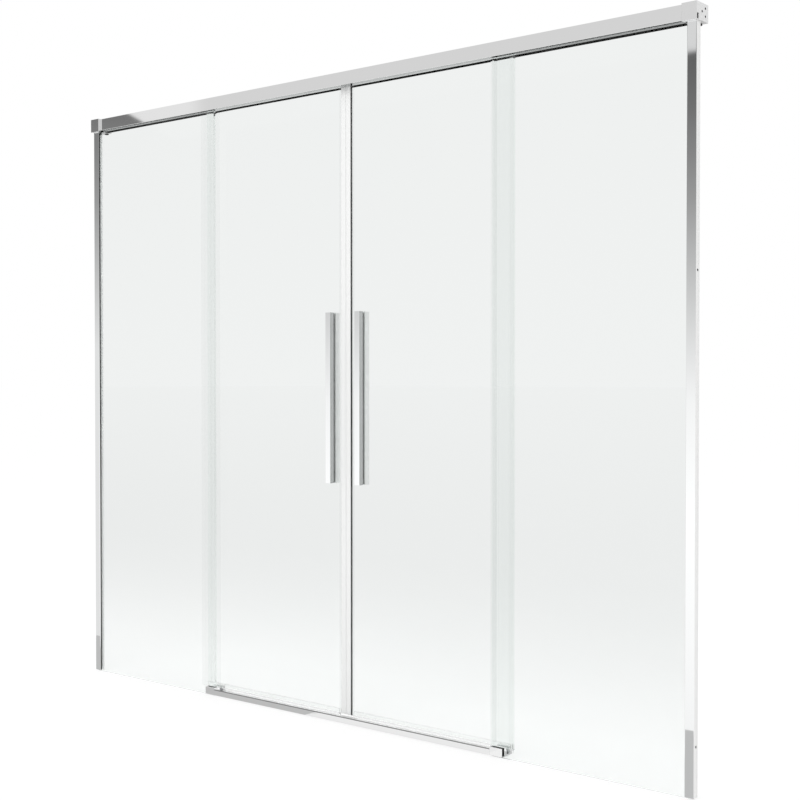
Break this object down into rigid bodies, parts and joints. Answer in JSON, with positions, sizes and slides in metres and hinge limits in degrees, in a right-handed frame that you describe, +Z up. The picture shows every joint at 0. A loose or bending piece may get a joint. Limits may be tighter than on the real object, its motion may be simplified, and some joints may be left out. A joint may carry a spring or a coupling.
{
  "type": "sliding bath screen",
  "caption": "Framed glass bath screen with fixed side panes and a pair of sliding doors that hang from rollers in a header rail and meet in the middle.",
  "frame": {"origin": "middle of the screen's width and depth, on the bath rim that it stands on", "axes": "+X along the header towards the right wall, seen from the room; +Y towards the bath; +Z up; the room side faces -Y"},
  "size_m": [1.8, 0.052, 1.5],
  "materials": {
    "polished_metal": "polished",
    "plated_cap": "polished",
    "fixed_pane": "clear",
    "sliding_pane": "clear",
    "black_rubber": "matte",
    "grey_rubber": "matte",
    "clear_seal": "translucent",
    "white_seal": "satin",
    "magnet": "matte",
    "white_tape": "matte",
    "guide_plastic": "satin",
    "black_plastic": "gloss",
    "roller_plastic": "satin",
    "steel": "brushed"
  },
  "bodies": {
    "frame": {"header_rail": "polished_metal", "header_cover_strip": "polished_metal", "header_end_cap_left": "plated_cap", "header_end_cap_right": "plated_cap", "cap_screws": "steel", "header_front_gaskets": "black_rubber", "header_rear_gaskets": "grey_rubber", "track_end_stops": "black_rubber", "wall_profile_left": "polished_metal", "wall_profile_right": "polished_metal", "wall_profile_gaskets": "grey_rubber", "fixed_glass_left": "fixed_pane", "fixed_glass_right": "fixed_pane", "overlap_seal_left": "clear_seal", "overlap_seal_right": "clear_seal", "threshold_rail": "polished_metal", "threshold_tape": "white_tape", "end_bracket_left": "plated_cap", "end_bracket_right": "plated_cap", "bracket_gaskets": "black_rubber", "bottom_guide_left": "guide_plastic", "bottom_guide_right": "guide_plastic"},
    "left_door": {"door_glass_left": "sliding_pane", "meeting_seal_left": "white_seal", "magnet_strip_left": "magnet", "edge_gasket_left": "black_rubber", "bottom_wiper_left": "clear_seal", "door_edge_seal_left": "clear_seal", "handle_outer_bar_left": "polished_metal", "handle_inner_bar_left": "polished_metal", "handle_gaskets_left": "black_rubber", "handle_bushes_left": "black_plastic", "handle_studs_left": "steel", "hangers_left": "steel", "clamp_plates_left": "steel", "clamp_screws_left": "steel", "roller_axles_left": "steel"},
    "right_door": {"door_glass_right": "sliding_pane", "meeting_seal_right": "white_seal", "magnet_strip_right": "magnet", "edge_gasket_right": "black_rubber", "bottom_wiper_right": "clear_seal", "door_edge_seal_right": "clear_seal", "handle_outer_bar_right": "polished_metal", "handle_inner_bar_right": "polished_metal", "handle_gaskets_right": "black_rubber", "handle_bushes_right": "black_plastic", "handle_studs_right": "steel", "hangers_right": "steel", "clamp_plates_right": "steel", "clamp_screws_right": "steel", "roller_axles_right": "steel"},
    "left_inner_roller": {"roller_left_inner": "roller_plastic"},
    "left_outer_roller": {"roller_left_outer": "roller_plastic"},
    "right_inner_roller": {"roller_right_inner": "roller_plastic"},
    "right_outer_roller": {"roller_right_outer": "roller_plastic"}
  },
  "joints": [
    {"name": "left_door_slide", "type": "slide", "parent": "frame", "child": "left_door", "axis": [-1, 0, 0], "range_m": [0, 0.355]},
    {"name": "right_door_slide", "type": "slide", "parent": "frame", "child": "right_door", "axis": [1, 0, 0], "range_m": [0, 0.355]},
    {"name": "left_inner_roller_spin", "type": "hinge", "parent": "left_door", "child": "left_inner_roller", "pos_m": [-0.1045, -0.0005, 1.4822], "axis": [0, 1, 0], "range_deg": [-2720, 0]},
    {"name": "left_outer_roller_spin", "type": "hinge", "parent": "left_door", "child": "left_outer_roller", "pos_m": [-0.383, -0.0005, 1.4822], "axis": [0, 1, 0], "range_deg": [-2720, 0]},
    {"name": "right_inner_roller_spin", "type": "hinge", "parent": "right_door", "child": "right_inner_roller", "pos_m": [0.1045, -0.0005, 1.4822], "axis": [0, 1, 0], "range_deg": [0, 2720]},
    {"name": "right_outer_roller_spin", "type": "hinge", "parent": "right_door", "child": "right_outer_roller", "pos_m": [0.383, -0.0005, 1.4822], "axis": [0, 1, 0], "range_deg": [0, 2720]}
  ],
  "couplings": [
    {"joint": "left_inner_roller_spin", "follows": "left_door_slide", "rad_per_m": -133.33},
    {"joint": "left_outer_roller_spin", "follows": "left_door_slide", "rad_per_m": -133.33},
    {"joint": "right_inner_roller_spin", "follows": "right_door_slide", "rad_per_m": 133.33},
    {"joint": "right_outer_roller_spin", "follows": "right_door_slide", "rad_per_m": 133.33}
  ]
}
